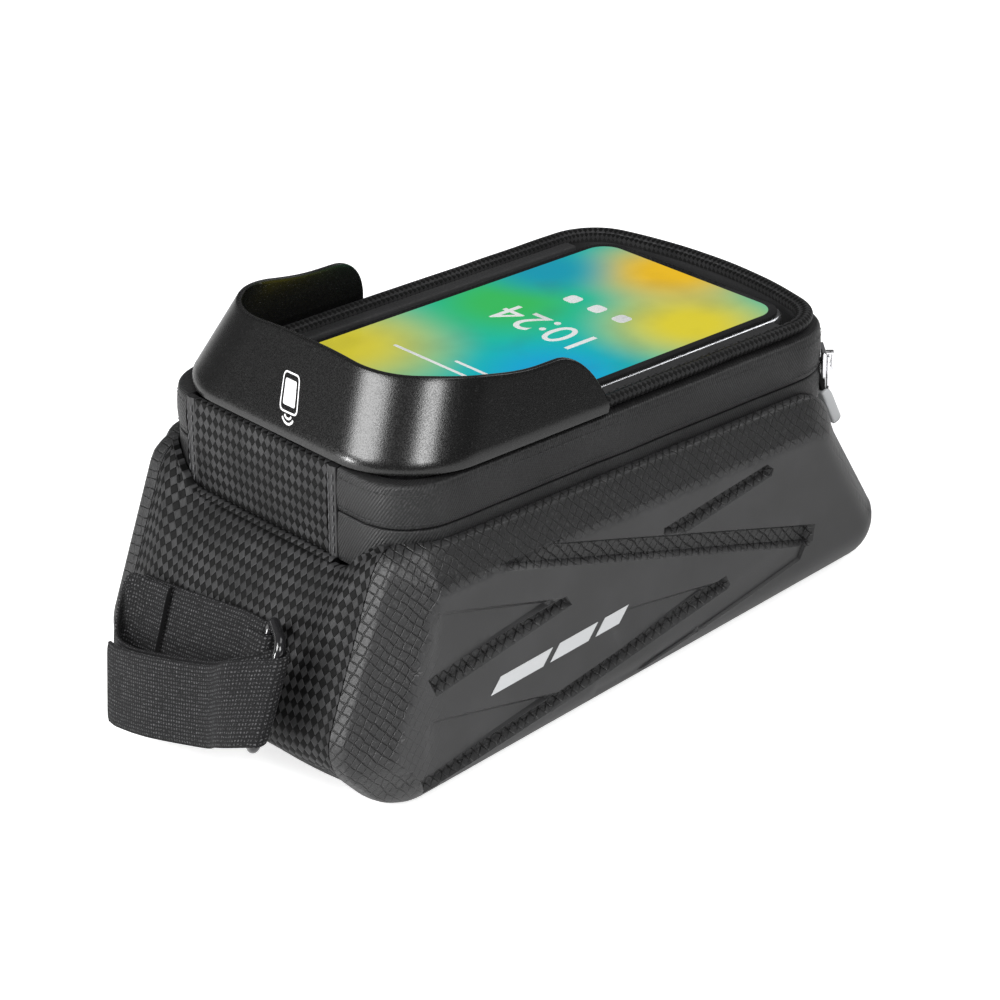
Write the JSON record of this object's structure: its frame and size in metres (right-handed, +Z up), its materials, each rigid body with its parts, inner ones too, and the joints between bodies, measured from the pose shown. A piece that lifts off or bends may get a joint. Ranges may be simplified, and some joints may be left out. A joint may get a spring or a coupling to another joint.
{
  "type": "top tube phone bag",
  "caption": "Bicycle top tube bag with moulded side pods, a zipped lid with a clear window over a phone, a sun visor, and hook-and-loop straps.",
  "frame": {"origin": "on the ground, under the middle of the bag's box", "axes": "+X forward, to the end with the sun visor and the front strap; +Y to the rider's left; +Z up"},
  "size_m": [0.2294, 0.12, 0.1142],
  "materials": {
    "checker_fabric": "satin coated cloth embossed with a fine checker",
    "tape_fabric": "matte coated twill",
    "rim_fabric": "satin coated cloth",
    "pod_foam": "satin moulded foam shell with an embossed skin",
    "visor_plastic": "satin with a sand texture",
    "strap_fabric": "matte woven hook-and-loop tape",
    "ring_plastic": "glossy black",
    "board_plastic": "matte black",
    "coil_plastic": "black nylon coil",
    "chrome": "bright plated zinc",
    "pull_rubber": "light grey reflective rubber",
    "clear_film": "clear flexible film",
    "phone_metal": "satin",
    "phone_glass": "glossy screen with plain fields of colour"
  },
  "bodies": {
    "bag": {"lower_zip_tape": "tape_fabric", "lower_zip_coil": "coil_plastic", "front_band": "checker_fabric", "left_seam_strip": "rim_fabric", "right_seam_strip": "rim_fabric", "left_pod": "pod_foam", "right_pod": "pod_foam", "gusset": "checker_fabric", "base_board": "board_plastic", "front_belly_strap": "strap_fabric", "front_left_keeper": "strap_fabric", "front_right_keeper": "strap_fabric", "rear_belly_strap": "strap_fabric", "rear_left_keeper": "strap_fabric", "rear_right_keeper": "strap_fabric", "front_ring": "ring_plastic", "front_strap_pad": "strap_fabric", "front_strap": "strap_fabric"},
    "lid": {"lid_rim": "rim_fabric", "phone_window": "clear_film", "upper_zip_tape": "tape_fabric", "upper_zip_coil": "coil_plastic", "phone_body": "phone_metal", "phone_screen": "phone_glass", "left_pocket_pad": "board_plastic", "right_pocket_pad": "board_plastic", "phone_pocket": "tape_fabric", "pocket_strap": "strap_fabric", "sun_visor": "visor_plastic"},
    "side_slider": {"side_slider": "chrome"},
    "side_pull": {"side_pull_plate": "chrome"},
    "rear_slider": {"rear_slider": "chrome"},
    "rear_pull": {"rear_pull_plate": "chrome", "rear_pull_tab": "checker_fabric", "rear_pull_end": "pull_rubber"}
  },
  "joints": [
    {"name": "lid_hinge", "type": "hinge", "parent": "bag", "child": "lid", "pos_m": [0.0696, 0, 0.09153], "axis": [0, 1, 0], "range_deg": [0, 100]},
    {"name": "side_slider_travel", "type": "hinge", "parent": "bag", "child": "side_slider", "pos_m": [-0.08004, 0.032, 0.06621], "axis": [-0.0811, 0, 0.9967], "range_deg": [-20, 0]},
    {"name": "side_pull_swing", "type": "hinge", "parent": "side_slider", "child": "side_pull", "pos_m": [-0.09713, 0.04697, 0.06588], "axis": [0.6572, 0.7519, 0.0535], "range_deg": [0, 100]},
    {"name": "rear_slider_travel", "type": "hinge", "parent": "bag", "child": "rear_slider", "pos_m": [0.03524, 0, 0.07559], "axis": [-0.0811, 0, 0.9967], "range_deg": [0, 26]},
    {"name": "rear_pull_swing", "type": "hinge", "parent": "rear_slider", "child": "rear_pull", "pos_m": [-0.10376, 0.03063, 0.06534], "axis": [0.214, 0.9767, 0.0174], "range_deg": [0, 75]}
  ]
}
